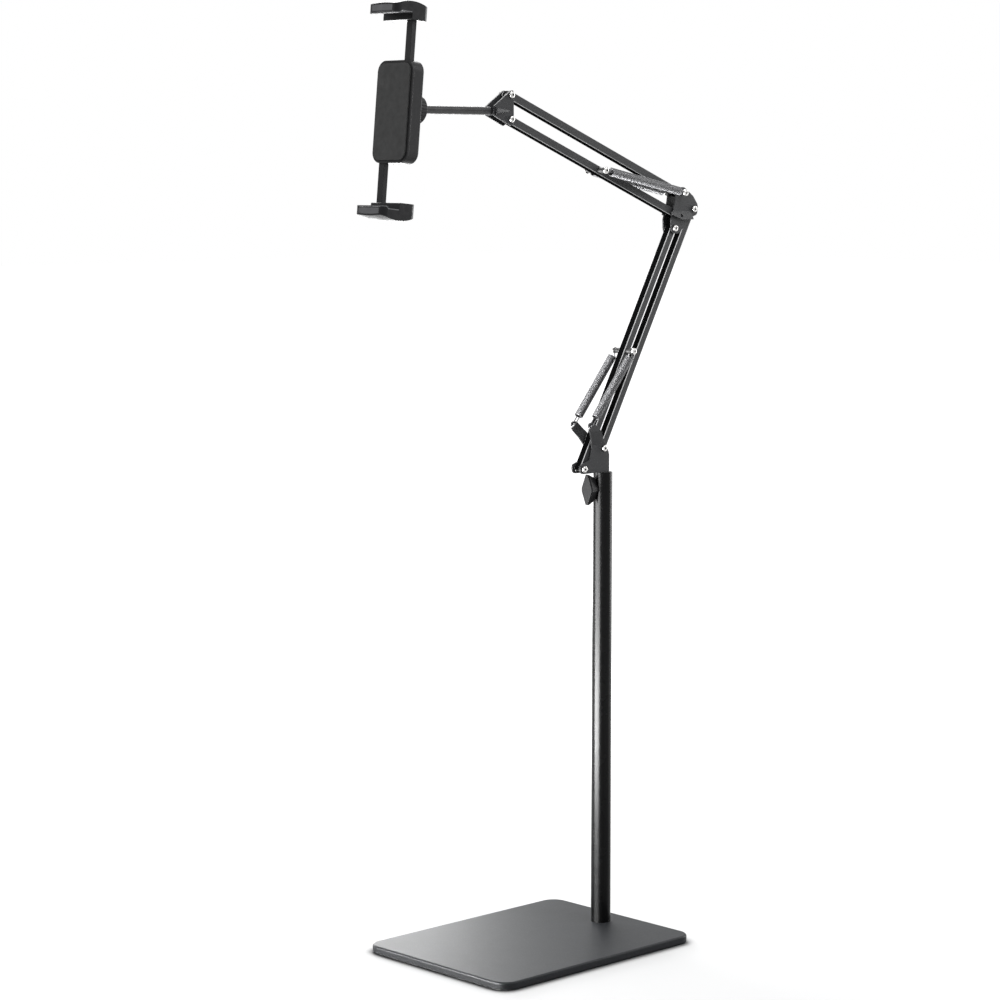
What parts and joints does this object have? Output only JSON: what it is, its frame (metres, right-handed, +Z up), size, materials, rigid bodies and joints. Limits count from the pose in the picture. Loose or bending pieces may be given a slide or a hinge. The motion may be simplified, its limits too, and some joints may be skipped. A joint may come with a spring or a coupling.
{
  "type": "adjustable tablet stand",
  "caption": "Desk stand with a flat base, a pole and a sprung parallel-bar arm that folds at an elbow and carries a swivelling spring-jawed tablet holder.",
  "frame": {"origin": "on the underside of the base pad, under the pole's axis", "axes": "+Z up along the pole, -Y towards the user and along the upper arm to the holder, +X to the right seen from behind the holder's user side looking along +Y"},
  "size_m": [0.228, 0.5036, 1.0583],
  "materials": {
    "base_paint": "satin powder coat",
    "base_rubber": "matte",
    "pole_paint": "semi-gloss powder coat",
    "arm_paint": "satin powder coat",
    "bracket_paint": "satin powder coat",
    "neck_paint": "satin powder coat",
    "ball_steel": "polished",
    "zinc_steel": "zinc plated",
    "nickel_bolts": "bright nickel",
    "spring_steel": "bright wire",
    "white_nylon": "natural",
    "black_nylon": "matte",
    "knob_plastic": "satin",
    "holder_plastic": "fine texture",
    "jaw_plastic": "fine texture",
    "pad_rubber": "matte",
    "jaw_pad_rubber": "matte"
  },
  "bodies": {
    "stand": {"base_plate": "base_paint", "base_pad": "base_rubber", "pole_bolt": "zinc_steel", "pole_foot_plug": "black_nylon", "pole_tube": "pole_paint", "pole_top_bush": "black_nylon", "clamp_insert": "pole_paint"},
    "knob": {"clamp_knob": "knob_plastic", "knob_stud": "zinc_steel"},
    "arm_base": {"arm_pin": "zinc_steel", "base_bracket": "bracket_paint", "swivel_washer": "black_nylon", "bracket_pivot_bolts": "nickel_bolts", "bracket_pivot_nuts": "nickel_bolts", "bracket_bar_washers": "black_nylon"},
    "front_bar": {"lower_front_bar": "arm_paint", "lower_spring_pin": "nickel_bolts", "lower_spring_sleeves": "black_nylon"},
    "rear_bar": {"lower_rear_bar": "arm_paint"},
    "spring_hooks": {"lower_spring_hooks": "spring_steel"},
    "lower_spring_pair": {"lower_springs": "spring_steel"},
    "elbow": {"elbow_plate_near": "bracket_paint", "elbow_plate_far": "bracket_paint", "elbow_pivot_bolts": "nickel_bolts", "elbow_pivot_nuts": "nickel_bolts", "elbow_pin": "bracket_paint", "elbow_washers": "black_nylon", "elbow_spring_pin": "nickel_bolts", "elbow_spring_sleeves": "black_nylon"},
    "low_bar": {"upper_low_bar": "arm_paint", "upper_spring_pin": "nickel_bolts", "upper_spring_sleeves": "black_nylon"},
    "top_bar": {"upper_top_bar": "arm_paint"},
    "upper_spring_pair": {"upper_springs": "spring_steel"},
    "spring_loops": {"upper_spring_loops": "spring_steel"},
    "head": {"head_plate_near": "bracket_paint", "head_plate_far": "bracket_paint", "head_pivot_bolts": "nickel_bolts", "head_pivot_nuts": "nickel_bolts", "head_washers": "black_nylon", "neck_socket": "bracket_paint"},
    "neck": {"neck_rod": "neck_paint", "neck_ball": "ball_steel", "neck_clip": "zinc_steel"},
    "ring": {"ring_nut": "holder_plastic"},
    "holder": {"holder_rear_cover": "holder_plastic", "holder_front_cover": "holder_plastic", "face_pad": "pad_rubber", "holder_screws": "nickel_bolts", "jaw_return_spring": "spring_steel"},
    "jaw_up": {"upper_jaw": "jaw_plastic", "upper_jaw_arm": "holder_plastic", "upper_jaw_rubber": "jaw_pad_rubber", "upper_jaw_screw": "nickel_bolts"},
    "jaw_down": {"lower_jaw": "jaw_plastic", "lower_jaw_arm": "holder_plastic", "lower_jaw_rubber": "jaw_pad_rubber", "lower_jaw_screw": "nickel_bolts"},
    "gear": {"pinion": "white_nylon"}
  },
  "joints": [
    {"name": "clamp_knob_turn", "type": "hinge", "parent": "stand", "child": "knob", "pos_m": [0, -0.0205, 0.518], "axis": [0, -1, 0], "range_deg": [0, 360]},
    {"name": "arm_swivel", "type": "hinge", "parent": "stand", "child": "arm_base", "pos_m": [0, 0, 0.5376], "axis": [0, 0, 1], "continuous": true},
    {"name": "lower_arm_tilt", "type": "hinge", "parent": "arm_base", "child": "front_bar", "pos_m": [0, -0.037, 0.543], "axis": [1, 0, 0], "range_deg": [-12, 60], "deforming": ["lower_springs", "lower_spring_hooks"]},
    {"name": "rear_bar_tilt", "type": "hinge", "parent": "arm_base", "child": "rear_bar", "pos_m": [0, -0.0045, 0.565], "axis": [1, 0, 0], "range_deg": [-12, 60]},
    {"name": "spring_hook_swing", "type": "hinge", "parent": "arm_base", "child": "spring_hooks", "pos_m": [0, -0.033, 0.5925], "axis": [1, 0, 0], "range_deg": [-18, 87]},
    {"name": "lower_spring_swing", "type": "hinge", "parent": "front_bar", "child": "lower_spring_pair", "pos_m": [0, 0.03503, 0.67457], "axis": [1, 0, 0], "range_deg": [-6, 27]},
    {"name": "elbow_level", "type": "hinge", "parent": "front_bar", "child": "elbow", "pos_m": [0, 0.11139, 0.81404], "axis": [1, 0, 0], "range_deg": [-60, 12]},
    {"name": "upper_arm_tilt", "type": "hinge", "parent": "elbow", "child": "low_bar", "pos_m": [0, 0.12039, 0.82854], "axis": [1, 0, 0], "range_deg": [-40, 45], "deforming": ["upper_springs", "upper_spring_loops"]},
    {"name": "top_bar_tilt", "type": "hinge", "parent": "elbow", "child": "top_bar", "pos_m": [0, 0.12039, 0.85504], "axis": [1, 0, 0], "range_deg": [-40, 45]},
    {"name": "upper_spring_swing", "type": "hinge", "parent": "elbow", "child": "upper_spring_pair", "pos_m": [0, 0.12039, 0.85504], "axis": [1, 0, 0], "range_deg": [-42, 47]},
    {"name": "spring_stretch", "type": "slide", "parent": "upper_spring_pair", "child": "spring_loops", "axis": [0, -0.9815, 0.1916], "range_m": [-0.0195, 0.0215]},
    {"name": "head_level", "type": "hinge", "parent": "low_bar", "child": "head", "pos_m": [0, -0.15157, 0.93622], "axis": [1, 0, 0], "range_deg": [-45, 40]},
    {"name": "neck_turn", "type": "hinge", "parent": "head", "child": "neck", "pos_m": [0, -0.15157, 0.94502], "axis": [0, -1, 0], "continuous": true},
    {"name": "holder_tilt", "type": "hinge", "parent": "neck", "child": "ring", "pos_m": [0, -0.29007, 0.94502], "axis": [1, 0, 0], "range_deg": [-30, 30]},
    {"name": "holder_spin", "type": "hinge", "parent": "ring", "child": "holder", "pos_m": [0, -0.29007, 0.94502], "axis": [0, -0.9954, 0.0958], "continuous": true},
    {"name": "upper_jaw_slide", "type": "slide", "parent": "holder", "child": "jaw_up", "axis": [0, 0.0958, 0.9954], "range_m": [-0.038, 0.005], "deforming": ["jaw_return_spring"]},
    {"name": "lower_jaw_slide", "type": "slide", "parent": "holder", "child": "jaw_down", "axis": [0, -0.0958, -0.9954], "range_m": [-0.038, 0.005]},
    {"name": "pinion_turn", "type": "hinge", "parent": "holder", "child": "gear", "pos_m": [0, -0.2906, 0.93954], "axis": [0, -0.9954, 0.0958], "range_deg": [-245, 35]}
  ],
  "couplings": [
    {"joint": "rear_bar_tilt", "follows": "lower_arm_tilt", "ratio": 1},
    {"joint": "elbow_level", "follows": "lower_arm_tilt", "ratio": -1},
    {"joint": "spring_hook_swing", "follows": "lower_arm_tilt", "ratio": 1.44},
    {"joint": "lower_spring_swing", "follows": "lower_arm_tilt", "ratio": 0.44},
    {"joint": "top_bar_tilt", "follows": "upper_arm_tilt", "ratio": 1},
    {"joint": "head_level", "follows": "upper_arm_tilt", "ratio": -1},
    {"joint": "upper_spring_swing", "follows": "upper_arm_tilt", "ratio": 1.03},
    {"joint": "spring_stretch", "follows": "upper_arm_tilt", "m_per_rad": 0.0265},
    {"joint": "lower_jaw_slide", "follows": "upper_jaw_slide", "ratio": 1},
    {"joint": "pinion_turn", "follows": "upper_jaw_slide", "rad_per_m": 111.11}
  ]
}
